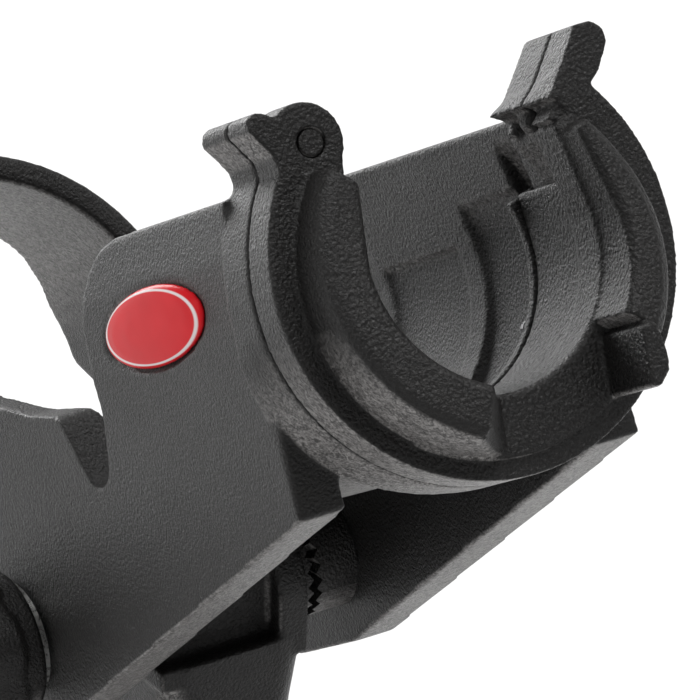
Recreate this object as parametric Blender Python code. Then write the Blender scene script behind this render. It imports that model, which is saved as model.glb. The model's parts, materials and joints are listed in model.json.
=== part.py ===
"""Adjustable boat rod holder.

A deep nylon cradle with a turning lock ring at its mouth and a hoop round the butt of the rod. It tilts
on a toothed clamp at the head of a post, and the post swivels in a base that is screwed to the deck.

Metres, +Z up, +X the way the rod points. The origin is the centre of the base's underside. The cradle and
its ring are drawn in the tube's own frame: x runs along the tube's axis from 0 at the ring's front face,
y goes to the far side and z across the tube. The knob is on the near side, at -y.
"""

import math

import bmesh
import bpy
from mathutils import Matrix

# Posture
TUBE_TILT = math.radians(34.7)  # the tube's rise above the deck
PIVOT_HEIGHT = 0.115
PIVOT_X, PIVOT_Z = -0.148, -0.042  # the tilt axis, in the tube's frame
GAP = 0.0003  # between pieces that touch

# Mouth of the tube
RIM_R = 0.0380
RING_BACK = -0.0095
BAND_FRONT = -0.0008  # the rim band and the lips stand back from the raised plate at x = 0
FLANGE_FRONT = RING_BACK - GAP
FLANGE_BACK = -0.0208
BORE_R = 0.0235
BORE_FOOT_Z = 0.0020  # above this the sides of the opening are straight
NEAR_SIDE_Y, NEAR_SIDE_Z = 0.0190, 0.0188  # the near side comes in towards the lobe
FAR_LEAN, FAR_SIDE_Z = 0.0020, 0.0176  # the far side comes in a little below the lip
FLANGE_BORE_R = 0.0245
FLANGE_SIDE_Y = 0.0218
NECK_Z = 0.0228
LIP_TOP = 0.0332
LOBE_Y, LOBE_Z, LOBE_R = 0.0240, 0.0264, 0.0070
TONGUE = ((0.0206, 0.0188), (0.0264, 0.0172), (0.0274, 0.0202), (0.0242, 0.0224))  # under the far lip
LIP_BLOCK = ((0.0214, 0.0184), (0.0268, 0.0170), (0.0276, 0.0206), (0.0240, 0.0228))
LIP_BLOCK_BACK, LIP_BLOCK_FRONT = -0.0196, -0.0172
BARREL_Y, BARREL_Z, BARREL_R, BARREL_BACK, BARREL_FRONT = 0.0237, 0.0196, 0.0022, -0.0147, -0.0104
PIN_Y, PIN_Z, PIN_R, PIN_BACK = -0.0231, 0.0262, 0.0024, -0.0082
SEAT_R = 0.0278
SLEEVE_R = SEAT_R - GAP
SLEEVE_BACK = -0.0268
SLEEVE_TOP = 0.0085
PLATE_R, PLATE_START, PLATE_END = 0.0344, -128, -40  # raised plate on the ring's face, degrees
NEAR_RIB_R, NEAR_RIB = 0.0340, ((139, 0.0065), (243, 0.0155), (261, 0.0004))  # degrees, height
FAR_RIB_R, FAR_RIB = 0.0322, ((36, 0.0065), (-42, 0.0130))
TAB_BACK, TAB_FRONT = -0.0031, 0.0160
TAB_CORNERS = (
    (0.0182, -0.0188, 0.0008),
    (0.0209, -0.0186, 0.0009),
    (0.0216, -0.0240, 0.0060),
    (0.0210, -0.0274, 0.0020),
    (0.0183, -0.0298, 0.0012),
    (0.0168, -0.0292, 0.0006),
)

# Retainer plate behind the ring, and its screws
GROOVE_R = 0.0314
RETAINER_R = GROOVE_R - 0.0006
RETAINER_FRONT = SLEEVE_BACK - GAP
RETAINER_BACK = RETAINER_FRONT - 0.0024
SCREW_CIRCLE_R, SCREW_TURNS = 0.0256, (-35, -90, -145)
SCREW_R, SCREW_HEAD_R, SCREW_HEAD_BACK, SCREW_TIP = 0.0009, 0.0021, -0.0312, -0.0188

# Tube
HALF_WIDTH = 0.0360
RIM_HALF_WIDTH = 0.0332
RIM_Z = 0.0212
BELLY = 0.0335
CHANNEL_R = 0.0280
FRONT_POCKET, REAR_POCKET = (0.0288, 0.0308), (0.0285, 0.0290)  # half width, depth
RIB_FRONT, RIB_BACK, REAR_POCKET_BACK = -0.0560, -0.0630, -0.0940
TROUGH_BELLY, TROUGH_HALF, TROUGH_FLOOR = 0.0252, 0.0312, 0.0204
ARM_HALF, ARM_RIM_HALF, ARM_BELLY, ARM_WALL = 0.0405, 0.0380, 0.0340, 0.0045

# Side panels, flush with the tube's sides
PANEL_INNER = 0.0270
NEAR_PANEL_FRONT, FAR_PANEL_FRONT = -0.0206, -0.0315
PANEL_FOOT, PANEL_SLOPE, PANEL_LOWEST = -0.0346, 0.2000, -0.0605  # foot at the near front, slope, lowest
PANEL_BACK = -0.1740
NEAR_WEB = ((-0.0178, -0.0130), (-0.0205, -0.0345), (-0.0260, -0.0345), (-0.0260, -0.0130))
FLARE_START, FLARE_END, FLARE_RISE, FLARE_BEND = -105, -178, 0.0019, 1.6  # the flange's flare on to the panel

# The near wall's round shoulder and notch, and the arm behind it: (x, z, corner radius)
NEAR_GAP = (
    (-0.0600, 0.0600, 0),
    (-0.0600, RIM_Z - 0.0001, 0),
    (-0.0869, RIM_Z, 0.0190),
    (-0.0870, -0.0070, 0.0120),
    (-0.0920, -0.0192, 0.0062),
    (-0.0992, -0.0200, 0.0040),
    (-0.1058, -0.0058, 0.0040),
    (-0.1180, -0.0041, 0.0200),
    (-0.1420, 0.0020, 0.0300),
    (-0.1950, 0.0080, 0.0300),
    (-0.2135, 0.0240, 0),
    (-0.2155, 0.0600, 0),
)
SLIT = ((-0.0246, 0.0121), (-0.0252, 0.0117), (-0.0282, 0.0058), (-0.0276, 0.0062))

# Butt hoop
HOOP_FRONT, HOOP_BACK = -0.2160, -0.2645
HOOP_R, HOOP_THICK, HOOP_Z = 0.0445, 0.0050, 0.0035
HOOP_EDGE = (  # the hoop's rear edge and its slanted underside: (x, z, corner radius)
    (-0.3000, 0.0700, 0),
    (-0.2568, 0.0700, 0),
    (-0.2568, 0.0270, 0.0120),
    (-0.2642, 0.0150, 0.0060),
    (-0.2642, 0.0040, 0.0050),
    (-0.2380, -0.0140, 0.0300),
    (-0.2150, -0.0300, 0),
    (-0.1950, -0.0600, 0),
    (-0.3000, -0.0600, 0),
)

# Badge, a plain oval dome
BADGE_X, BADGE_Z, BADGE_SEAT_Y = -0.0560, 0.0044, -0.0349
BADGE_HALF_LENGTH, BADGE_HALF_HEIGHT, BADGE_SLOPE = 0.0212, 0.0070, 0.0235
BADGE_RISE = ((1.0, 0.0), (1.0, 0.0006), (0.93, 0.0012), (0.75, 0.0016), (0.45, 0.0019), (0.15, 0.0020))

# Tilt clamp
BOLT_R, BOLT_TIP, BOLT_HEAD_BACK = 0.0040, -0.0500, 0.0315
HEAD_HALF_WIDTH, HEAD_R = 0.0153, 0.0134
TOOTH_R, TOOTH_HEIGHT, TOOTH_COUNT = 0.0113, 0.0012, 24
TOOTH_LINE = 0.0026  # from the head's side to the line where the teeth meet
KNOB_R, KNOB_SKIRT_R, KNOB_LOBES = 0.0165, 0.0136, 6

# Post and base
POST_R = 0.0135
POST_SHOULDER, POST_FOOT = 0.0365, 0.0070
HEAD_FOOT, LEDGE_Z = 0.1030, 0.1075
HEAD_RIB_INNER, HEAD_PLATE_X = 0.0092, 0.0092
HEAD_BLOCK = (  # height, half depth, half width, corner radius
    (0.0680, 0.0112, 0.0112, 0.0070),
    (0.0800, 0.0128, 0.0128, 0.0066),
    (0.0927, 0.0134, 0.0135, 0.0060),
    (0.1034, 0.0138, 0.0149, 0.0050),
    (LEDGE_Z, 0.0138, 0.0150, 0.0050),
)
SPIGOT_R = 0.0120
BOSS_TOP, BASE_BOSS_R = 0.0300, 0.0235
BASE_SIDE, BASE_THICK, BASE_CORNER, BASE_INSET = 0.0960, 0.0070, 0.0160, 0.0016
DECK_HOLE, DECK_HOLE_R, DECK_HEAD_R = 0.0360, 0.0026, 0.0052
BUTTON_Z, BUTTON_R, BUTTON_OUT, BUTTON_IN = 0.0180, 0.0045, 0.0272, 0.0208
SPRING_R, SPRING_WIRE, SPRING_TURNS, SPRING_END = 0.0028, 0.0004, 3, -0.0165

TUBE = (
    Matrix.Translation((0, 0, PIVOT_HEIGHT))
    @ Matrix.Rotation(-TUBE_TILT, 4, "Y")
    @ Matrix.Translation((-PIVOT_X, 0, -PIVOT_Z))
)
PIVOT_IN_TUBE = (PIVOT_X, 0, PIVOT_Z)
PIVOT = (0, 0, PIVOT_HEIGHT)
WORLD = Matrix.Identity(4)


# --- outlines -------------------------------------------------------------------------------------------


def arc(u, v, radius, start, end, steps, height=None):
    """Points along an arc, or along an oval's arc if it has a height; angles in degrees, both ends included."""
    rise = height or radius
    turns = [math.radians(start + (end - start) * i / steps) for i in range(steps + 1)]
    return [(u + radius * math.cos(t), v + rise * math.sin(t)) for t in turns]


def rounded(corners, steps=4):
    """A closed outline from (u, v, radius) corners, each corner with a radius turned into an arc."""
    outline = []
    count = len(corners)
    for i, (u, v, radius) in enumerate(corners):
        if not radius:
            outline.append((u, v))
            continue
        before, after = corners[i - 1], corners[(i + 1) % count]
        a = math.atan2(before[1] - v, before[0] - u)
        b = math.atan2(after[1] - v, after[0] - u)
        half = abs((b - a + math.pi) % (2 * math.pi) - math.pi) / 2
        middle = math.atan2(math.sin(a) + math.sin(b), math.cos(a) + math.cos(b))
        reach = radius / math.sin(half)
        centre = (u + reach * math.cos(middle), v + reach * math.sin(middle))
        spread = math.pi / 2 - half
        turn = 1 if math.sin(a - b) > 0 else -1
        for step in range(steps + 1):
            t = middle + math.pi + turn * spread * (2 * step / steps - 1)
            outline.append((centre[0] + radius * math.cos(t), centre[1] + radius * math.sin(t)))
    return outline


# --- meshes ---------------------------------------------------------------------------------------------


def material(name, colour, roughness, metallic=0.0):
    made = bpy.data.materials.get(name)
    if made is None:
        made = bpy.data.materials.new(name)
        made.use_nodes = True
        shader = made.node_tree.nodes["Principled BSDF"]
        shader.inputs["Base Color"].default_value = (*colour, 1)
        shader.inputs["Roughness"].default_value = roughness
        shader.inputs["Metallic"].default_value = metallic
        made.diffuse_color = (*colour, 1)
    return made


def solid(name, points, faces, frame=WORLD, origin=(0, 0, 0), smooth=True):
    """An object whose points are given in a frame, with its own origin at a point of that frame."""
    mesh = bpy.data.meshes.new(name)
    mesh.from_pydata([tuple(p[i] - origin[i] for i in range(3)) for p in points], [], faces)
    build = bmesh.new()
    build.from_mesh(mesh)
    bmesh.ops.remove_doubles(build, verts=build.verts, dist=1e-6)
    bmesh.ops.recalc_face_normals(build, faces=build.faces)
    build.to_mesh(mesh)
    build.free()
    made = bpy.data.objects.new(name, mesh)
    bpy.context.scene.collection.objects.link(made)
    made.matrix_world = frame @ Matrix.Translation(origin)
    if smooth:
        mesh.shade_smooth()
        mesh.set_sharp_from_angle(angle=math.radians(35))
    return made


def placed(axis, u, v, w):
    """The point at w along the axis and at (u, v) across it, in the order of the other two axes."""
    if axis == "x":
        return (w, u, v)
    if axis == "y":
        return (u, w, v)
    return (u, v, w)


def loft(name, sections, **where):
    """A closed solid through sections, each a loop with the same number of points."""
    count = len(sections[0])
    points = [p for section in sections for p in section]
    faces = [list(range(count)), [len(points) - count + i for i in range(count)]]
    for row in range(len(sections) - 1):
        for i in range(count):
            j = (i + 1) % count
            low, high = row * count, (row + 1) * count
            faces.append([low + i, low + j, high + j, high + i])
    return solid(name, points, faces, **where)


def prism(name, outline, axis, low, high, **where):
    return loft(name, [[placed(axis, u, v, w) for u, v in outline] for w in (low, high)], **where)


def lathe(name, profile, axis, centre=(0, 0), steps=48, **where):
    """Turns a closed (radius, along) profile about an axis."""
    points, faces = [], []
    rows = len(profile)
    for i in range(steps):
        t = 2 * math.pi * i / steps
        for radius, along in profile:
            u, v = centre[0] + radius * math.cos(t), centre[1] + radius * math.sin(t)
            points.append(placed(axis, u, v, along))
    for i in range(steps):
        for k in range(rows):
            if profile[k][0] or profile[(k + 1) % rows][0]:
                here, there = i * rows, (i + 1) % steps * rows
                faces.append([here + k, here + (k + 1) % rows, there + (k + 1) % rows, there + k])
    return solid(name, points, faces, **where)


def drum(name, radius, axis, low, high, centre=(0, 0), steps=32, **where):
    circle = arc(*centre, radius, 0, 360 * (steps - 1) / steps, steps - 1)
    return prism(name, circle, axis, low, high, **where)


def combine(target, other, operation):
    """Adds or removes the other shape with a Boolean, and keeps the other as a hidden guide."""
    step = target.modifiers.new(other.name, "BOOLEAN")
    step.operation = operation
    step.solver = "EXACT"
    step.object = other
    other.hide_render = True
    other.display_type = "WIRE"


def cut(target, *others):
    for other in others:
        combine(target, other, "DIFFERENCE")


def join(target, *others):
    for other in others:
        combine(target, other, "UNION")


def finish(made, finish_material):
    made.data.materials.clear()
    made.data.materials.append(finish_material)
    return made


# --- mouth: the outline that the ring and the tube's flange share -----------------------------------------


def mouth_outline(bore_half, near_side, lobe, forward):
    """The C of the mouth, open at the top, from the far lip clockwise round the rim to the near lip.

    The far lip's inner face moves outwards towards the front, and forward is 0 at the ring's back and 1 at
    its face.
    """
    neck = math.degrees(math.asin(NECK_Z / RIM_R))
    outline = [(0.0303, LIP_TOP), (0.0338, LIP_TOP), (0.0356, 0.0316), (0.0357, 0.0290), (0.0327, 0.0246)]
    outline += arc(0, 0, RIM_R, neck, -180 - neck, 56)
    outline += [(-0.0306, 0.0256), (-0.0338, 0.0308), (-0.0334, 0.0328), (-0.0317, 0.0336)]
    if lobe:
        outline += [(-0.0300, 0.0331)]
        outline += arc(-LOBE_Y, LOBE_Z, LOBE_R, 128, -33, 14)
    else:
        outline += [(-0.0290, LIP_TOP), (-0.0225, 0.0225)]
    outline += [(-near_side, NEAR_SIDE_Z), (-bore_half, BORE_FOOT_Z)]
    outline += arc(0, 0, bore_half, -180, 0, 28)
    outline += [(bore_half, BORE_FOOT_Z), (bore_half - FAR_LEAN, FAR_SIDE_Z), (0.0248, 0.0189)]
    outline += [(0.0222 + 0.0014 * forward, 0.0216), (0.0205 + 0.0016 * forward, 0.0224)]
    outline += [(0.0244 + 0.0021 * forward, 0.0257 + 0.0021 * forward)]
    outline += [(0.0292 + 0.0006 * forward, 0.0317 + 0.0006 * forward)]
    return outline


def mouth_edge(t):
    """How far the side of the opening is from the axis, in the direction t: round below, straight above."""
    across, up = math.cos(t), math.sin(t)
    if BORE_R * up < BORE_FOOT_Z:
        return BORE_R
    if across > 0:
        lean = FAR_LEAN / (FAR_SIDE_Z - BORE_FOOT_Z)
    else:
        lean = (BORE_R - NEAR_SIDE_Y) / (NEAR_SIDE_Z - BORE_FOOT_Z)
    return (BORE_R + lean * BORE_FOOT_Z) / (abs(across) + lean * up)


def rib(name, stations, outer, taper, root):
    """A rib round the mouth whose height goes straight from each (angle, height) to the next."""
    heights = []
    for (start, low), (end, high) in zip(stations, stations[1:]):
        steps = max(4, round(abs(end - start) / 4.5))
        first = 1 if heights else 0
        for i in range(first, steps + 1):
            heights.append((start + (end - start) * i / steps, low + (high - low) * i / steps))
    span = stations[1][0] - stations[0][0]
    sections = []
    for turn, height in heights:
        t = math.radians(turn)
        rim = outer - taper * max(0, 1 - (turn - stations[0][0]) / span)
        inner = mouth_edge(t) + 0.0004
        ease = min(0.0012, (rim - inner) / 5, (height + root) / 4)
        loop = [
            (inner, -root),
            (inner, height - ease),
            (inner + ease, height),
            (rim - 2 * ease, height),
            (rim - ease / 2, height - ease),
            (rim, height - 3 * ease),
            (rim, -root),
        ]
        sections.append([(x, r * math.cos(t), r * math.sin(t)) for r, x in loop])
    return loft(name, sections, frame=TUBE)


def screw_places():
    turns = [math.radians(t) for t in SCREW_TURNS]
    return [(SCREW_CIRCLE_R * math.cos(t), SCREW_CIRCLE_R * math.sin(t)) for t in turns]


# --- lock ring --------------------------------------------------------------------------------------------


def lock_ring(nylon):
    sections = []
    for x, forward in ((RING_BACK, 0), (BAND_FRONT, 1)):
        sections.append([(x, y, z) for y, z in mouth_outline(BORE_R, NEAR_SIDE_Y, True, forward)])
    ring = loft("lock_ring", sections, frame=TUBE)
    face = arc(0, 0, PLATE_R, PLATE_START, PLATE_END, 24)
    face += arc(0, 0, BORE_R + 0.0004, PLATE_END, PLATE_START, 24)
    join(ring, prism("face_plate", face, "x", BAND_FRONT - 0.0015, 0, frame=TUBE))
    join(ring, rib("near_rib", NEAR_RIB, NEAR_RIB_R, 0.0012, 0.0020))
    join(ring, rib("far_rib", FAR_RIB, FAR_RIB_R, 0.0022, 0.0025))
    join(ring, prism("lip_tongue", TONGUE, "x", RING_BACK + 0.0014, BAND_FRONT - 0.0006, frame=TUBE))
    join(ring, prism("tab", rounded(TAB_CORNERS), "x", TAB_BACK, TAB_FRONT, frame=TUBE))
    sleeve_angle = math.degrees(math.asin(SLEEVE_TOP / SLEEVE_R))
    inside = BORE_R + GAP
    sleeve_outline = arc(0, 0, SLEEVE_R, sleeve_angle, -180 - sleeve_angle, 44)
    sleeve_outline += [(-inside, SLEEVE_TOP)] + arc(0, 0, inside, -180, 0, 28) + [(inside, SLEEVE_TOP)]
    join(ring, prism("ring_sleeve", sleeve_outline, "x", SLEEVE_BACK, RING_BACK + 0.0010, frame=TUBE))
    pin_seat = [
        (0.0, PIN_BACK - GAP),
        (PIN_R, PIN_BACK - GAP),
        (PIN_R, BAND_FRONT - 0.0012),
        (PIN_R + 0.00022, BAND_FRONT - 0.0012),
        (PIN_R + 0.00022, 0.0010),
        (0.0, 0.0010),
    ]
    cut(ring, lathe("pin_seat", pin_seat, "x", (PIN_Y, PIN_Z), 28, frame=TUBE))
    for i, where in enumerate(screw_places()):
        cut(ring, drum(f"screw_way_{i}", SCREW_R + 0.0002, "x", -0.0300, -0.0185, where, 16, frame=TUBE))
    return finish(ring, nylon)


def ring_retainer(nylon, steel):
    """The plate behind the sleeve that keeps the ring in its seat, and its three screws."""
    top = 18
    outline = arc(0, 0, RETAINER_R, top, -180 - top, 44) + arc(0, 0, BORE_R, -180 - top, top, 36)
    plate = prism("ring_retainer", outline, "x", RETAINER_BACK, RETAINER_FRONT, frame=TUBE)
    under_head = RETAINER_BACK - GAP / 3
    profile = [
        (0.0, SCREW_HEAD_BACK),
        (SCREW_HEAD_R - 0.0002, SCREW_HEAD_BACK),
        (SCREW_HEAD_R, SCREW_HEAD_BACK + 0.0006),
        (SCREW_HEAD_R, under_head),
        (SCREW_R, under_head),
        (SCREW_R, SCREW_TIP - 0.0004),
        (0.0, SCREW_TIP),
    ]
    for i, where in enumerate(screw_places()):
        way = drum(f"plate_way_{i}", SCREW_R + 0.0004, "x", -0.0320, -0.0260, where, 16, frame=TUBE)
        cut(plate, way)
        finish(lathe(f"retainer_screw_{i + 1}", profile, "x", where, 16, frame=TUBE), steel)
    return finish(plate, nylon)


def lip_pin(nylon):
    """The stepped pin whose round end shows in the near lobe."""
    profile = [
        (0.0, PIN_BACK),
        (PIN_R - GAP, PIN_BACK),
        (PIN_R - GAP, BAND_FRONT - 0.0010),
        (PIN_R, BAND_FRONT - 0.0010),
        (PIN_R, BAND_FRONT - 0.0004),
        (PIN_R - 0.0002, BAND_FRONT - 0.0002),
        (0.0, BAND_FRONT - 0.0002),
    ]
    return finish(lathe("lip_pin", profile, "x", (PIN_Y, PIN_Z), 28, frame=TUBE), nylon)


# --- cradle -----------------------------------------------------------------------------------------------


def side_points(half, belly, foot):
    """The lower corner of one side: the foot of a panel, or points of the belly where there is none."""
    knee_turn = math.acos(PANEL_INNER / half)
    knee = (PANEL_INNER, -belly * math.sin(knee_turn))
    if foot is not None:
        return [(half, foot), (PANEL_INNER, foot), knee]
    turns = (knee_turn / 3, knee_turn * 2 / 3)
    return [(half * math.cos(t), -belly * math.sin(t)) for t in turns] + [knee]


def wall_section(x, sides, belly, channel, near_foot=None, far_foot=None, steps=16):
    """A U of wall across the tube, with a panel below each side that has a foot.

    Its sides lean in above the axis. The sides and the channel are each given as a pair of half widths and
    depths.
    """
    half, rim_half = sides
    inner_half, inner_depth = channel
    wall = half - inner_half
    lean = (rim_half + (half - rim_half) * 0.75, RIM_Z * 0.55)
    far = [(rim_half, RIM_Z), lean, (half, 0.0)] + side_points(half, belly, far_foot)
    near = [(rim_half, RIM_Z), lean, (half, 0.0)] + side_points(half, belly, near_foot)
    knee_turn = math.degrees(math.acos(PANEL_INNER / half))
    under = arc(0, 0, half, -knee_turn, knee_turn - 180, steps, belly)[1:-1]
    inside = [(-rim_half + wall, RIM_Z), (-inner_half, 0.0)]
    inside += arc(0, 0, inner_half, -180, 0, steps + 4, inner_depth)[1:-1]
    inside += [(inner_half, 0.0), (rim_half - wall, RIM_Z)]
    loop = far + under + [(-y, z) for y, z in reversed(near)] + inside
    return [(x, y, z) for y, z in loop]


def tube_and_panels():
    """The tube, its two side panels and the arms behind them, as one solid."""
    front = ((HALF_WIDTH, RIM_HALF_WIDTH), BELLY, (CHANNEL_R, CHANNEL_R))
    trough = ((HALF_WIDTH, RIM_HALF_WIDTH), TROUGH_BELLY, (TROUGH_HALF, TROUGH_FLOOR))
    arm = ((ARM_HALF, ARM_RIM_HALF), ARM_BELLY, (ARM_HALF - ARM_WALL, ARM_BELLY - ARM_WALL))
    root_half, root_belly = HOOP_R - 0.0003, 0.0408
    root = ((root_half, 0.0395), root_belly, (root_half - ARM_WALL, root_belly - ARM_WALL))
    step = 0.0001
    sections = []
    for x in (FLANGE_BACK + 0.0010, NEAR_PANEL_FRONT + step):
        sections.append(wall_section(x, *front))
    for x in (NEAR_PANEL_FRONT, FAR_PANEL_FRONT + step):
        sections.append(wall_section(x, *front, near_foot=foot_line(x)))
    for x in (FAR_PANEL_FRONT, -0.0840, -0.0960):
        sections.append(wall_section(x, *front, foot_line(x), foot_line(x)))
    for x in (-0.1180, -0.1500, PANEL_BACK):
        sections.append(wall_section(x, *trough, foot_line(x), foot_line(x)))
    for x, foot in ((PANEL_BACK - 0.0025, -0.0560), (PANEL_BACK - 0.0045, -0.0450)):
        sections.append(wall_section(x, *trough, foot, foot))
    for x in (PANEL_BACK - 0.0060, -0.1850):
        sections.append(wall_section(x, *trough))
    sections.append(wall_section(-0.2050, *arm))
    sections.append(wall_section(HOOP_FRONT - 0.0030, *root))
    return loft("cradle", sections, frame=TUBE, origin=PIVOT_IN_TUBE)


def foot_line(x):
    """The height of the panels' foot."""
    return max(PANEL_LOWEST, PANEL_FOOT + PANEL_SLOPE * (x - NEAR_PANEL_FRONT))


def butt_hoop():
    inner, ease = HOOP_R - HOOP_THICK, 0.0008
    profile = [
        (HOOP_R, HOOP_FRONT - ease),
        (HOOP_R - ease, HOOP_FRONT),
        (inner + ease, HOOP_FRONT),
        (inner, HOOP_FRONT - ease),
        (inner, HOOP_BACK + ease),
        (inner + ease, HOOP_BACK),
        (HOOP_R - ease, HOOP_BACK),
        (HOOP_R, HOOP_BACK + ease),
    ]
    return lathe("butt_hoop", profile, "x", (0, HOOP_Z), 64, frame=TUBE)


def flange_flare():
    """The swelling that carries the flange's near side out on to the front of the near panel."""
    sections = []
    for x, share in ((-0.0112, 0.05), (-0.0160, 0.65), (FLANGE_BACK - 0.0003, 1.0)):
        outer = []
        for i in range(25):
            t = i / 24
            turn = math.radians(FLARE_START + (FLARE_END - FLARE_START) * t)
            radius = RIM_R + 0.0001 + share * FLARE_RISE * math.sin(math.pi * t**FLARE_BEND)
            outer.append((radius * math.cos(turn), radius * math.sin(turn)))
        inner = arc(0, 0, 0.0310, FLARE_END, FLARE_START, 24)
        sections.append([(x, y, z) for y, z in outer + inner])
    return loft("flange_flare", sections, frame=TUBE)


def mouth_flange():
    sections = []
    for x, forward in ((FLANGE_BACK, -0.7), (FLANGE_FRONT, 0)):
        outline = mouth_outline(FLANGE_BORE_R, FLANGE_SIDE_Y, False, forward)
        sections.append([(x, y, z) for y, z in outline])
    flange = loft("flange", sections, frame=TUBE)
    ease = 0.0008
    profile = [
        (0.0, BARREL_BACK),
        (BARREL_R - ease, BARREL_BACK),
        (BARREL_R, BARREL_BACK + ease),
        (BARREL_R, BARREL_FRONT - ease),
        (BARREL_R - ease, BARREL_FRONT),
        (0.0, BARREL_FRONT),
    ]
    barrel = lathe("lip_barrel", profile, "x", (BARREL_Y, BARREL_Z), 24, frame=TUBE)
    block = prism("lip_block", LIP_BLOCK, "x", LIP_BLOCK_BACK, LIP_BLOCK_FRONT, frame=TUBE)
    join(flange, barrel, block, flange_flare())
    cut(flange, drum("sleeve_seat", SEAT_R, "x", -0.0300, 0.0, (0, 0), 64, frame=TUBE))
    return flange


def pocket(name, shape, top, front, back):
    """A recess in the channel, between two x, that ends at an angle above the axis."""
    half, depth = shape
    return prism(name, arc(0, 0, half, top, -180 - top, 40, depth), "x", back, front, frame=TUBE)


def badge_oval(share, grow=0.0):
    oval = []
    for u, v in arc(0, 0, share * BADGE_HALF_LENGTH + grow, 0, 351, 39, share * BADGE_HALF_HEIGHT + grow):
        oval.append((BADGE_X + u, BADGE_Z + v + u * BADGE_SLOPE))
    return oval


def cradle(nylon):
    tube = tube_and_panels()
    join(tube, prism("near_web", NEAR_WEB, "y", -HALF_WIDTH + 0.0001, -PANEL_INNER, frame=TUBE))
    join(tube, butt_hoop(), mouth_flange())
    cut(tube, prism("hoop_edge", rounded(HOOP_EDGE, 5), "y", -0.0600, 0.0600, frame=TUBE))
    cut(tube, prism("near_gap", rounded(NEAR_GAP, 5), "y", -0.0600, -0.0050, frame=TUBE))
    cut(tube, pocket("front_pocket", FRONT_POCKET, 18, SLEEVE_BACK + GAP, RIB_FRONT))
    cut(tube, pocket("rear_pocket", REAR_POCKET, 6, RIB_BACK, REAR_POCKET_BACK))
    groove = (RETAINER_BACK - 0.0040, SLEEVE_BACK + 0.0002)
    cut(tube, drum("retainer_groove", GROOVE_R, "x", *groove, (0, 0), 64, frame=TUBE))
    cut(tube, prism("slit", SLIT, "y", -0.0400, -0.0352, frame=TUBE))
    cut(tube, prism("badge_seat", badge_oval(1.0, 0.0006), "y", -0.0400, BADGE_SEAT_Y, frame=TUBE))
    bolt_way = drum("bolt_way", BOLT_R + GAP, "y", -0.0450, 0.0450, (PIVOT_X, PIVOT_Z), 32, frame=TUBE)
    head_seat = prism("bolt_head_seat", hexagon(0.0068), "y", BOLT_HEAD_BACK - GAP, 0.0450, frame=TUBE)
    cut(tube, bolt_way, head_seat)
    return finish(tube, nylon)


def hexagon(radius):
    return arc(PIVOT_X, PIVOT_Z, radius, 0, 300, 5)


def badge(enamel):
    """A domed oval plate in the near wall."""
    back = BADGE_SEAT_Y - 0.0002
    sections = [[(x, back - rise, z) for x, z in badge_oval(share)] for share, rise in BADGE_RISE]
    return finish(loft("badge", sections, frame=TUBE, origin=PIVOT_IN_TUBE), enamel)


# --- tilt clamp -------------------------------------------------------------------------------------------


def toothed_disc(name, back, face, nylon, frame, centre, origin):
    """A disc whose face is a ring of teeth; its back and its tooth tips are at the given y."""
    sign = 1 if face > back else -1
    points, faces = [], []
    steps = 2 * TOOTH_COUNT
    for i in range(steps):
        t = 2 * math.pi * i / steps
        tip = face if i % 2 else face - sign * TOOTH_HEIGHT
        for radius, y in ((BOLT_R + GAP, back), (TOOTH_R, back), (TOOTH_R, tip), (BOLT_R + 0.0022, tip)):
            points.append((centre[0] + radius * math.cos(t), y, centre[1] + radius * math.sin(t)))
        root = face - sign * TOOTH_HEIGHT
        bore = BOLT_R + GAP
        points.append((centre[0] + bore * math.cos(t), root, centre[1] + bore * math.sin(t)))
    rows = 5
    for i in range(steps):
        for k in range(rows):
            here, there = i * rows, (i + 1) % steps * rows
            faces.append([here + k, here + (k + 1) % rows, there + (k + 1) % rows, there + k])
    disc = solid(name, points, faces, frame=frame, origin=origin, smooth=False)
    return finish(disc, nylon)


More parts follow.
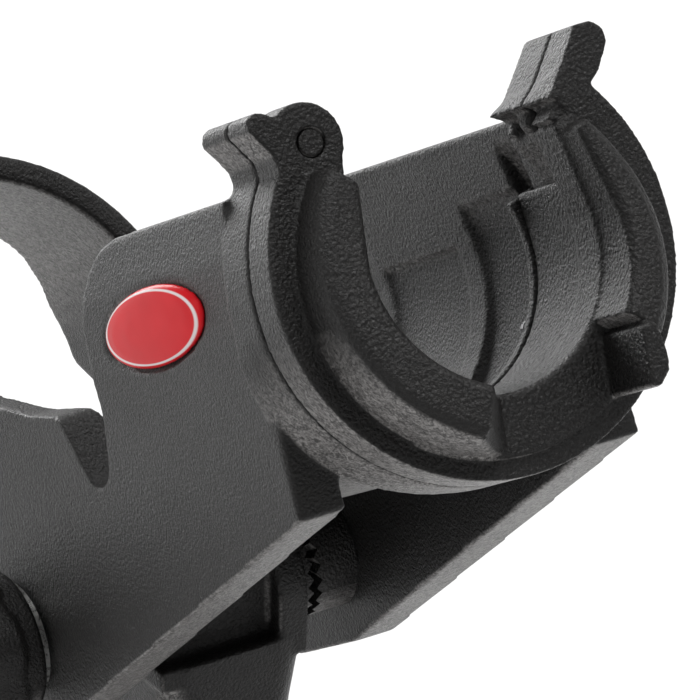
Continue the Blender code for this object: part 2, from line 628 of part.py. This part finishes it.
def tilt_clamp(nylon, steel, brass):
    tube_centre = (PIVOT_X, PIVOT_Z)
    head_centre = (0, PIVOT_HEIGHT)
    middle = HEAD_HALF_WIDTH + TOOTH_LINE
    for side, name in ((-1, "near"), (1, "far")):
        toothed_disc(
            f"cradle_toothed_disc_{name}",
            side * (PANEL_INNER - GAP),
            side * (middle + GAP),
            nylon,
            TUBE,
            tube_centre,
            PIVOT_IN_TUBE,
        )
        toothed_disc(
            f"post_toothed_disc_{name}",
            side * (HEAD_HALF_WIDTH + GAP),
            side * (middle - GAP),
            nylon,
            WORLD,
            head_centre,
            PIVOT,
        )
    shank_profile = [(0.0, BOLT_TIP), (BOLT_R - 0.0006, BOLT_TIP), (BOLT_R, BOLT_TIP + 0.0006)]
    shank_profile += [(BOLT_R, 0.0330), (0.0, 0.0330)]
    bolt = lathe("tilt_bolt", shank_profile, "y", tube_centre, 32, frame=TUBE, origin=PIVOT_IN_TUBE)
    join(bolt, prism("bolt_head", hexagon(0.0065), "y", BOLT_HEAD_BACK, 0.0366, frame=TUBE))
    finish(bolt, steel)
    washer_profile = [(BOLT_R + GAP, -0.0380), (0.0105, -0.0380), (0.0105, -0.0365), (BOLT_R + GAP, -0.0365)]
    washer = lathe("knob_washer", washer_profile, "y", tube_centre, 40, frame=TUBE, origin=PIVOT_IN_TUBE)
    finish(washer, steel)

    skirt_profile = [
        (0.0, -0.0600),
        (KNOB_SKIRT_R - 0.0022, -0.0600),
        (KNOB_SKIRT_R, -0.0580),
        (KNOB_SKIRT_R, -0.0392),
        (KNOB_SKIRT_R - 0.0009, -0.0383),
        (0.0, -0.0383),
    ]
    knob = lathe("tilt_knob", skirt_profile, "y", tube_centre, 48, frame=TUBE, origin=PIVOT_IN_TUBE)
    lobed = []
    for i in range(96):
        t = 2 * math.pi * i / 96
        reach = KNOB_R - 0.0022 * (1 - math.cos(KNOB_LOBES * t)) / 2
        lobed.append((reach, t))
    sections = []
    for y, share in ((-0.0425, 0.93), (-0.0440, 1.0), (-0.0560, 1.0), (-0.0585, 0.93)):
        ring = [(PIVOT_X + r * share * math.cos(t), y, PIVOT_Z + r * share * math.sin(t)) for r, t in lobed]
        sections.append(ring)
    join(knob, loft("knob_grip", sections, frame=TUBE))
    cut(knob, prism("insert_seat", hexagon(0.0078), "y", -0.0530, -0.0370, frame=TUBE))
    cut(knob, drum("cap_seat", 0.0090, "y", -0.0620, -0.0575, tube_centre, 32, frame=TUBE))
    finish(knob, nylon)
    insert = prism("knob_insert", hexagon(0.0075), "y", -0.0527, -0.0386, frame=TUBE, origin=PIVOT_IN_TUBE)
    cut(insert, drum("insert_thread", BOLT_R + GAP / 2, "y", -0.0540, -0.0370, tube_centre, 32, frame=TUBE))
    finish(insert, brass)
    cap_profile = [(0.0, -0.0608), (0.0070, -0.0604), (0.0087, -0.0592), (0.0087, -0.0578), (0.0, -0.0578)]
    cap = lathe("knob_cap", cap_profile, "y", tube_centre, 32, frame=TUBE, origin=PIVOT_IN_TUBE)
    finish(cap, nylon)


# --- post and base ----------------------------------------------------------------------------------------


def post(nylon, steel):
    body = lathe(
        "post",
        [
            (0.0, POST_FOOT),
            (SPIGOT_R - 0.0008, POST_FOOT),
            (SPIGOT_R, POST_FOOT + 0.0008),
            (SPIGOT_R, BOSS_TOP + GAP),
            (0.0220, BOSS_TOP + GAP),
            (0.0230, BOSS_TOP + 0.0013),
            (0.0230, POST_SHOULDER),
            (0.0215, POST_SHOULDER + 0.0020),
            (POST_R + 0.0010, 0.0450),
            (POST_R, 0.0520),
            (POST_R, 0.0760),
            (0.0, 0.0760),
        ],
        "z",
        frame=WORLD,
    )
    blocks = []
    for z, half_depth, half_width, corner in HEAD_BLOCK:
        corners = [(half_depth, half_width), (-half_depth, half_width)]
        corners += [(-half_depth, -half_width), (half_depth, -half_width)]
        blocks.append([(u, v, z) for u, v in rounded([(u, v, corner) for u, v in corners], 6)])
    join(body, loft("head_block", blocks))
    head_outline = arc(0, PIVOT_HEIGHT, HEAD_R, 0, 180, 24) + [(-HEAD_R, HEAD_FOOT), (HEAD_R, HEAD_FOOT)]
    join(body, prism("post_head", head_outline, "y", -HEAD_HALF_WIDTH, HEAD_HALF_WIDTH))
    plate_top = PIVOT_HEIGHT + 0.0200
    for side, name in ((1, "front"), (-1, "back")):
        reach = (side * HEAD_PLATE_X, side * 0.0300)
        outline = rounded(
            [
                (reach[0], LEDGE_Z + 0.0002, 0),
                (reach[1], LEDGE_Z + 0.0002, 0),
                (reach[1], plate_top, 0),
                (reach[0], plate_top, 0),
            ]
        )
        cut(body, prism(f"{name}_recess", outline, "y", -HEAD_HALF_WIDTH - 0.0010, HEAD_RIB_INNER))
    cut(body, drum("post_bolt_way", BOLT_R + GAP, "y", -0.0200, 0.0200, (0, PIVOT_HEIGHT)))
    cut(body, drum("spigot_thread", 0.0026, "z", 0.0, 0.0240))
    finish(body, nylon)
    washer_profile = [(0.0028, 0.0047), (0.0145, 0.0047), (0.0145, 0.0066), (0.0028, 0.0066)]
    finish(lathe("spigot_washer", washer_profile, "z", frame=WORLD), steel)
    screw_profile = [(0.0, 0.0014), (0.0042, 0.0014), (0.0048, 0.0020), (0.0048, 0.0044)]
    screw_profile += [(0.0024, 0.0044), (0.0024, 0.0228), (0.0, 0.0232)]
    finish(lathe("spigot_screw", screw_profile, "z", steps=32), steel)


def base(nylon):
    half = BASE_SIDE / 2
    corners = [(half, half), (-half, half), (-half, -half), (half, -half)]
    outline = rounded([(u, v, BASE_CORNER) for u, v in corners], 8)
    share = (half - BASE_INSET) / half
    sections = []
    for z, scale in ((0.0, 1.0), (BASE_THICK - BASE_INSET, 1.0), (BASE_THICK, share)):
        sections.append([(u * scale, v * scale, z) for u, v in outline])
    plate = loft("deck_base", sections)
    boss_profile = [
        (0.0, 0.0010),
        (0.0300, 0.0010),
        (0.0300, BASE_THICK + 0.0010),
        (0.0262, BASE_THICK + 0.0040),
        (BASE_BOSS_R, 0.0150),
        (BASE_BOSS_R, BOSS_TOP - 0.0010),
        (BASE_BOSS_R - 0.0010, BOSS_TOP),
        (0.0, BOSS_TOP),
    ]
    join(plate, lathe("base_boss", boss_profile, "z"))
    cut(plate, drum("spigot_way", SPIGOT_R + GAP, "z", -0.001, 0.040, steps=48))
    cut(plate, drum("washer_room", 0.0160, "z", -0.001, POST_FOOT - 0.0001, steps=48))
    for i in range(4):
        turn = math.pi / 4 + i * math.pi / 2
        where = (math.sqrt(2) * DECK_HOLE * math.cos(turn), math.sqrt(2) * DECK_HOLE * math.sin(turn))
        bore = [
            (0.0, -0.001),
            (DECK_HOLE_R, -0.001),
            (DECK_HOLE_R, BASE_THICK - DECK_HEAD_R + DECK_HOLE_R),
            (DECK_HEAD_R, BASE_THICK),
            (DECK_HEAD_R, 0.010),
            (0.0, 0.010),
        ]
        cut(plate, lathe(f"deck_hole_{i}", bore, "z", where, 24))
    button_way = drum("button_way", BUTTON_R + GAP, "y", -0.0300, -0.0160, (0, BUTTON_Z))
    cut(plate, button_way)
    finish(plate, nylon)
    button_profile = [
        (0.0, -BUTTON_OUT),
        (BUTTON_R - 0.0008, -BUTTON_OUT),
        (BUTTON_R, -BUTTON_OUT + 0.0008),
        (BUTTON_R, -BUTTON_IN),
        (0.0, -BUTTON_IN),
    ]
    button = lathe("swivel_button", button_profile, "y", (0, BUTTON_Z), 32, origin=(0, -BUTTON_OUT, BUTTON_Z))
    finish(button, nylon)
    plug_profile = [(0.0, 0.0), (0.0157, 0.0), (0.0157, 0.0010), (0.0, 0.0010)]
    finish(lathe("base_plug", plug_profile, "z", steps=40), nylon)


def coil_spring(name, steel, radius, wire, turns, start, end, centre):
    """A closed helical wire along y."""
    around, along = 8, int(turns * 14)
    sections = []
    for i in range(along + 1):
        t = 2 * math.pi * turns * i / along
        y = start + (end - start) * i / along
        loop = []
        for k in range(around):
            a = 2 * math.pi * k / around
            r = radius + wire * math.cos(a)
            loop.append((centre[0] + r * math.cos(t), y + wire * math.sin(a), centre[1] + r * math.sin(t)))
        sections.append(loop)
    return finish(loft(name, sections), steel)


def main():
    for old in list(bpy.data.objects):
        bpy.data.objects.remove(old, do_unlink=True)
    nylon = material("black_nylon", (0.012, 0.012, 0.013), 0.42)
    ring_nylon = material("ring_nylon", (0.018, 0.018, 0.019), 0.38)
    enamel = material("red_enamel", (0.62, 0.015, 0.02), 0.12)
    steel = material("stainless", (0.62, 0.62, 0.60), 0.28, 1.0)
    dark_steel = material("blackened_steel", (0.05, 0.05, 0.052), 0.35, 1.0)
    brass = material("brass", (0.72, 0.52, 0.22), 0.30, 1.0)
    cradle(nylon)
    badge(enamel)
    lock_ring(ring_nylon)
    ring_retainer(ring_nylon, dark_steel)
    lip_pin(ring_nylon)
    tilt_clamp(nylon, steel, brass)
    post(nylon, steel)
    base(nylon)
    spring_start = -BUTTON_IN + SPRING_WIRE + GAP
    spring = (SPRING_R, SPRING_WIRE, SPRING_TURNS, spring_start, SPRING_END, (0, BUTTON_Z))
    coil_spring("button_spring", steel, *spring)


main()
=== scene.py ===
"""Looks of the boat rod holder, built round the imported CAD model.

Every piece takes its place from the frame: the joints' axes, the nodes' boxes and a few distances from them.
"""

import json
import math

import bmesh
import bpy
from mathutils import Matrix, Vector

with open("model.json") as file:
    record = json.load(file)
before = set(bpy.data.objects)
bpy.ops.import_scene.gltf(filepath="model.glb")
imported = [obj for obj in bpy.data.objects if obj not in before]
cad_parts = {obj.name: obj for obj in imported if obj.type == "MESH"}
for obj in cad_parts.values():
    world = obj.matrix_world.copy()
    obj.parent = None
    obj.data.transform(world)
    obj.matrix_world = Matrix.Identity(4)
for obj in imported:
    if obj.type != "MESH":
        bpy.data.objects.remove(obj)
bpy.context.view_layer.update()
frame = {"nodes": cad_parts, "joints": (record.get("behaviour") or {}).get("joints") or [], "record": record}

MM = 0.001

# A noise texture's values lie mostly between these two.
NOISE_LOW, NOISE_HIGH = 0.3, 0.7

# A moulded edge bends outwards by this much: where its wear starts, and where it is full.
WORN_FROM, WORN_FULL = 0.53, 0.6

# Painted light: the nylon is painted pale where it faces down and to the knob's side, in the ring's own
# directions, in place of the light thrown up from below.
LIT_FACE_SIDEWAYS, LIT_FACE_DOWN = -0.5, -0.85
PAINTED_LIGHT_FROM, PAINTED_LIGHT_FULL = 0.58, 0.86

# Linear colours.
NYLON_DARK, NYLON_LIGHT = (0.0085, 0.008, 0.0078), (0.0155, 0.0145, 0.014)
# The pale colour of the painted light on the nylon's faces turned down and to the knob's side.
NYLON_PAINTED_LIGHT = (0.33, 0.318, 0.31)
RED_DARK, RED_LIGHT = (0.6, 0.006, 0.012), (0.7, 0.012, 0.02)
BADGE_LINE = (0.8, 0.72, 0.72)
FLOOR_DARK, FLOOR_LIGHT = (0.86, 0.86, 0.86), (0.88, 0.88, 0.88)

# The badge's pale line, as shares of the way from its middle to its edge.
LINE_PLACE, LINE_HALF_WIDTH, LINE_FADED = 0.9, 0.015, 0.035

# Camera. The direction is given from the object, and the offsets run from the middle of the ring's front.
AZIMUTH = math.radians(60.1)
ELEVATION = math.radians(31.0)
CAMERA_DISTANCE = 1.704
LENS_MM = 520.0
SENSOR_MM = 36.0
AIM_RIGHT = -0.0214
AIM_UP = -0.0157
CAMERA_REACH = 20.0

WORLD_STRENGTH = 0.42
FLOOR_HALF = 6.0
FLOOR_DROP = 0.0005

# Voxels for rounding the moulded edges.
COARSE_VOXEL = 0.0006
FINE_VOXEL = 0.0004

JOINTS = {joint["name"]: joint for joint in frame["joints"]}
RING_FRONT = Vector(JOINTS["ring_turn"]["pos_m"])
RING_AXIS = Vector(JOINTS["ring_turn"]["axis"]).normalized()
ACROSS = Vector((0, 1, 0))
LIT_FACE_DIRECTION = ACROSS * LIT_FACE_SIDEWAYS + RING_AXIS.cross(ACROSS) * LIT_FACE_DOWN
VIEW_BACK = Vector((
    math.sin(AZIMUTH) * math.cos(ELEVATION),
    -math.cos(AZIMUTH) * math.cos(ELEVATION),
    math.sin(ELEVATION),
))
VIEW_RIGHT = Vector((0, 0, 1)).cross(VIEW_BACK).normalized()
VIEW_UP = VIEW_BACK.cross(VIEW_RIGHT)
AIM = RING_FRONT + VIEW_RIGHT * AIM_RIGHT + VIEW_UP * AIM_UP

# Soft boxes turned to the aim: the place from the aim, the width, the height and the watts.
SOFT_BOXES = {
    "left_box": (VIEW_RIGHT * -0.85 + VIEW_BACK * 0.15 + VIEW_UP * 0.12, 0.5, 0.7, 1.5),
    "back_box": (Vector((-1.1, 0.0, -0.06)), 0.5, 0.4, 4.5),
    "top_box": (Vector((-0.25, 0.35, 1.3)), 1.2, 1.2, 20.0),
}


class Nodes:
    """A material's node tree with short calls to add and link nodes."""

    def __init__(self, name):
        self.material = bpy.data.materials.new(name)
        self.material.use_nodes = True
        self.tree = self.material.node_tree
        self.shader = self.tree.nodes["Principled BSDF"]
        coordinates = self.tree.nodes.new("ShaderNodeTexCoord")
        self.position = coordinates.outputs["Object"]

    def link(self, source, target):
        self.tree.links.new(source, target)

    def noise(self, scale, detail=4.0, roughness=0.5, distortion=0.0, stretch=None):
        """Cloudy noise with so many clouds to the metre."""
        node = self.tree.nodes.new("ShaderNodeTexNoise")
        node.inputs["Scale"].default_value = scale
        node.inputs["Detail"].default_value = detail
        node.inputs["Roughness"].default_value = roughness
        node.inputs["Distortion"].default_value = distortion
        self.link(self.stretched(stretch), node.inputs["Vector"])
        return node.outputs["Fac"]

    def pebbles(self, scale):
        """Rounded cells with so many to the metre."""
        node = self.tree.nodes.new("ShaderNodeTexVoronoi")
        node.feature = "SMOOTH_F1"
        node.inputs["Scale"].default_value = scale
        self.link(self.position, node.inputs["Vector"])
        return node.outputs["Distance"]

    def stretched(self, stretch):
        """The object's own coordinates, scaled along each axis when a stretch is given."""
        if stretch is None:
            return self.position
        node = self.tree.nodes.new("ShaderNodeMapping")
        node.inputs["Scale"].default_value = stretch
        self.link(self.position, node.inputs["Vector"])
        return node.outputs["Vector"]

    def pointiness(self):
        """How far the surface bends outwards, for rubbed edges."""
        return self.tree.nodes.new("ShaderNodeNewGeometry").outputs["Pointiness"]

    def reach_along(self, source, direction):
        """How far a vector reaches along a direction."""
        dot = self.tree.nodes.new("ShaderNodeVectorMath")
        dot.operation = "DOT_PRODUCT"
        dot.inputs[1].default_value = direction
        self.link(source, dot.inputs[0])
        return dot.outputs["Value"]

    def facing(self, direction):
        """How squarely the surface faces a direction, from -1 to 1."""
        return self.reach_along(self.tree.nodes.new("ShaderNodeNewGeometry").outputs["Normal"], direction)

    def mix(self, share, first, second):
        """The first colour where the share is 0, the second where it is 1."""
        node = self.tree.nodes.new("ShaderNodeMix")
        node.data_type = "RGBA"
        self.link(share, node.inputs[0])
        self.link(first, node.inputs[6])
        node.inputs[7].default_value = (*second, 1)
        return node.outputs[2]

    def ramp(self, source, low, high, start=NOISE_LOW, end=NOISE_HIGH):
        """Turns values between start and end into colours between low and high."""
        node = self.tree.nodes.new("ShaderNodeValToRGB")
        node.color_ramp.elements[0].position = start
        node.color_ramp.elements[1].position = end
        node.color_ramp.elements[0].color = (*low, 1)
        node.color_ramp.elements[1].color = (*high, 1)
        self.link(source, node.inputs["Fac"])
        return node.outputs["Color"]

    def span(self, source, low, high, start=NOISE_LOW, end=NOISE_HIGH):
        """Turns values between start and end into values between low and high."""
        node = self.tree.nodes.new("ShaderNodeMapRange")
        node.inputs["From Min"].default_value = start
        node.inputs["From Max"].default_value = end
        node.inputs["To Min"].default_value = low
        node.inputs["To Max"].default_value = high
        self.link(source, node.inputs["Value"])
        return node.outputs["Result"]

    def math(self, operation, first, second):
        node = self.tree.nodes.new("ShaderNodeMath")
        node.operation = operation
        for socket, value in zip(node.inputs, (first, second)):
            if isinstance(value, (int, float)):
                socket.default_value = value
            else:
                self.link(value, socket)
        return node.outputs["Value"]

    def bump(self, height, distance, strength=1.0, under=None):
        """Relief of so many metres, over an earlier relief when one is given."""
        node = self.tree.nodes.new("ShaderNodeBump")
        node.inputs["Distance"].default_value = distance
        node.inputs["Strength"].default_value = strength
        self.link(height, node.inputs["Height"])
        if under is not None:
            self.link(under, node.inputs["Normal"])
        return node.outputs["Normal"]

    def finish(self, colour, roughness=None, normal=None, **values):
        """Wires the textures to the shader and sets its plain values."""
        for socket, source in (("Base Color", colour), ("Roughness", roughness), ("Normal", normal)):
            if source is not None:
                self.link(source, self.shader.inputs[socket])
        for name, value in values.items():
            self.shader.inputs[name.replace("_", " ")].default_value = value
        return self.material


def grained_nylon(name, grain, depth, roughness):
    """Glass-filled nylon: leathery grain over slow changes of tone, paler and smoother where it is worn,
    with painted light in pale speckled patches on the faces turned down and to the knob's side.
    """
    nodes = Nodes(name)
    pebbles = nodes.pebbles(1 / grain)
    creases = nodes.noise(1 / grain, roughness=0.6, distortion=0.4)
    dust = nodes.noise(4500.0, detail=2.0)
    cloud = nodes.noise(45.0, roughness=0.6)
    streaks = nodes.noise(60.0, detail=3.0, stretch=(0.15, 1.0, 0.15))
    worn = nodes.span(nodes.pointiness(), 0.0, 1.0, WORN_FROM, WORN_FULL)

    relief = nodes.math("ADD", nodes.math("MULTIPLY", pebbles, 0.5), creases)
    normal = nodes.bump(dust, 0.02 * MM, 0.6, under=nodes.bump(relief, depth))

    tone = nodes.math("ADD", nodes.math("MULTIPLY", cloud, 0.6), nodes.math("MULTIPLY", streaks, 0.4))
    tone = nodes.math("ADD", tone, nodes.math("MULTIPLY", worn, 0.25))
    black = nodes.ramp(tone, NYLON_DARK, NYLON_LIGHT, NOISE_LOW, 0.75)

    rough = nodes.math("ADD", nodes.span(creases, -0.05, 0.07), nodes.span(cloud, -0.03, 0.04))
    rough = nodes.math("ADD", nodes.math("ADD", rough, roughness), nodes.math("MULTIPLY", worn, -0.06))

    # Painted light: pale speckled patches where the surface faces down and to the knob's side, in place of
    # the light thrown up from below.
    painted_light_patches = nodes.noise(0.7 / grain, detail=5.0, roughness=0.7, distortion=1.2)
    painted_light_patches = nodes.span(painted_light_patches, 0.15, 1.0, 0.42, 0.62)
    lit_facing = nodes.span(nodes.facing(LIT_FACE_DIRECTION), 0.0, 1.0, PAINTED_LIGHT_FROM, PAINTED_LIGHT_FULL)
    painted_light = nodes.math("MULTIPLY", lit_facing, painted_light_patches)
    return nodes.finish(
        colour=nodes.mix(painted_light, black, NYLON_PAINTED_LIGHT),
        roughness=rough,
        normal=normal,
        Specular_IOR_Level=0.3,
    )


def red_enamel(plate):
    """Domed red resin with a thin pale oval line just inside its edge."""
    nodes = Nodes("red_enamel")
    turn = plate.matrix_world.inverted().to_3x3()
    squares = []
    for axis in (RING_AXIS, RING_AXIS.cross(ACROSS)):
        axis = (turn @ axis).normalized()
        reach = [vertex.co.dot(axis) for vertex in plate.data.vertices]
        middle, half = (max(reach) + min(reach)) / 2, (max(reach) - min(reach)) / 2
        share = nodes.math("SUBTRACT", nodes.reach_along(nodes.position, axis), middle)
        share = nodes.math("MULTIPLY", share, 1 / half)
        squares.append(nodes.math("MULTIPLY", share, share))
    radius = nodes.math("SQRT", nodes.math("ADD", *squares), 0.0)
    off_line = nodes.math("ABSOLUTE", nodes.math("SUBTRACT", radius, LINE_PLACE), 0.0)
    line = nodes.span(off_line, 1.0, 0.0, LINE_HALF_WIDTH, LINE_FADED)
    cloud = nodes.noise(90.0, detail=2.0)
    return nodes.finish(
        colour=nodes.mix(line, nodes.ramp(cloud, RED_DARK, RED_LIGHT), BADGE_LINE),
        roughness=nodes.span(cloud, 0.16, 0.24),
        Specular_IOR_Level=0.08,
    )


def turned_metal(name, dark, light):
    """Metal with fine tool marks."""
    nodes = Nodes(name)
    marks = nodes.noise(1400.0, detail=2.0)
    return nodes.finish(
        colour=nodes.ramp(marks, dark, light),
        roughness=nodes.span(marks, 0.22, 0.4),
        normal=nodes.bump(marks, 0.02 * MM, 0.5),
        Metallic=1.0,
    )


def make_materials():
    """One material for each slot of the record."""
    return {
        "black_nylon": grained_nylon("black_nylon", 0.55 * MM, 0.4 * MM, 0.34),
        "ring_nylon": grained_nylon("ring_nylon", 0.65 * MM, 0.5 * MM, 0.3),
        "red_enamel": red_enamel(frame["nodes"]["badge"]),
        "stainless": turned_metal("stainless", (0.5, 0.5, 0.49), (0.66, 0.66, 0.64)),
        "blackened_steel": turned_metal("blackened_steel", (0.03, 0.03, 0.031), (0.06, 0.06, 0.062)),
        "brass": turned_metal("brass", (0.6, 0.42, 0.17), (0.74, 0.54, 0.25)),
    }


# Moulded pieces: the voxel's size and how often the surface is smoothed.
ROUNDED = {
    "cradle": (COARSE_VOXEL, 6),
    "lock_ring": (FINE_VOXEL, 6),
    "ring_retainer": (FINE_VOXEL, 4),
    "post": (COARSE_VOXEL, 5),
    "deck_base": (COARSE_VOXEL, 5),
    "tilt_knob": (FINE_VOXEL, 6),
    "knob_cap": (FINE_VOXEL, 4),
    "swivel_button": (FINE_VOXEL, 4),
    "badge": (FINE_VOXEL, 5),
    "lip_pin": (FINE_VOXEL / 2, 3),
}


def soften(node, voxel, passes):
    """Rounds every moulded edge of a CAD node by remeshing it finely and relaxing the surface."""
    remesh = node.modifiers.new("remesh", "REMESH")
    remesh.mode = "VOXEL"
    remesh.voxel_size = voxel
    remesh.use_smooth_shade = True
    relax = node.modifiers.new("relax", "SMOOTH")
    relax.factor = 0.5
    relax.iterations = passes


def dress_nodes(materials):
    """Gives each CAD node its slot's material, and the moulded ones their rounded edges."""
    slots = {part["node"]: part["material_slot"] for part in frame["record"]["subparts"]}
    for name, node in frame["nodes"].items():
        node.data.materials.clear()
        node.data.materials.append(materials[slots[name]])
        if name in ROUNDED:
            soften(node, *ROUNDED[name])


def place_turned(name, data, place, direction):
    """Puts a light or a camera in the scene, looking along a direction."""
    item = bpy.data.objects.new(name, data)
    bpy.context.scene.collection.objects.link(item)
    item.location = place
    item.rotation_mode = "QUATERNION"
    item.rotation_quaternion = direction.to_track_quat("-Z", "Y")
    return item


def make_lights():
    """A white surround and the soft boxes."""
    world = bpy.data.worlds.new("studio")
    world.use_nodes = True
    world.node_tree.nodes["Background"].inputs["Color"].default_value = (1, 1, 1, 1)
    world.node_tree.nodes["Background"].inputs["Strength"].default_value = WORLD_STRENGTH
    bpy.context.scene.world = world
    for name, (offset, width, height, watts) in SOFT_BOXES.items():
        data = bpy.data.lights.new(name, "AREA")
        data.shape = "RECTANGLE"
        data.size = width
        data.size_y = height
        data.energy = watts
        place_turned(name, data, AIM + offset, -offset)


def make_floor():
    """A plain pale floor just under the base."""
    mesh = bpy.data.meshes.new("floor")
    shape = bmesh.new()
    bmesh.ops.create_grid(shape, x_segments=1, y_segments=1, size=FLOOR_HALF)
    shape.to_mesh(mesh)
    shape.free()
    floor = bpy.data.objects.new("floor", mesh)
    bpy.context.scene.collection.objects.link(floor)
    floor.location.z = -FLOOR_DROP
    nodes = Nodes("floor")
    tone = nodes.noise(3.0, detail=2.0)
    mesh.materials.append(nodes.finish(
        colour=nodes.ramp(tone, FLOOR_DARK, FLOOR_LIGHT, 0.0, 1.0),
        Roughness=0.7,
    ))


def make_camera():
    """A long lens a little above the holder, in front of its knob side."""
    data = bpy.data.cameras.new("camera")
    data.lens = LENS_MM
    data.sensor_width = SENSOR_MM
    data.clip_end = CAMERA_REACH
    place = AIM + VIEW_BACK * CAMERA_DISTANCE
    bpy.context.scene.camera = place_turned("camera", data, place, -VIEW_BACK)


make_camera()
make_lights()
make_floor()
dress_nodes(make_materials())
bpy.context.scene.view_settings.view_transform = "Standard"
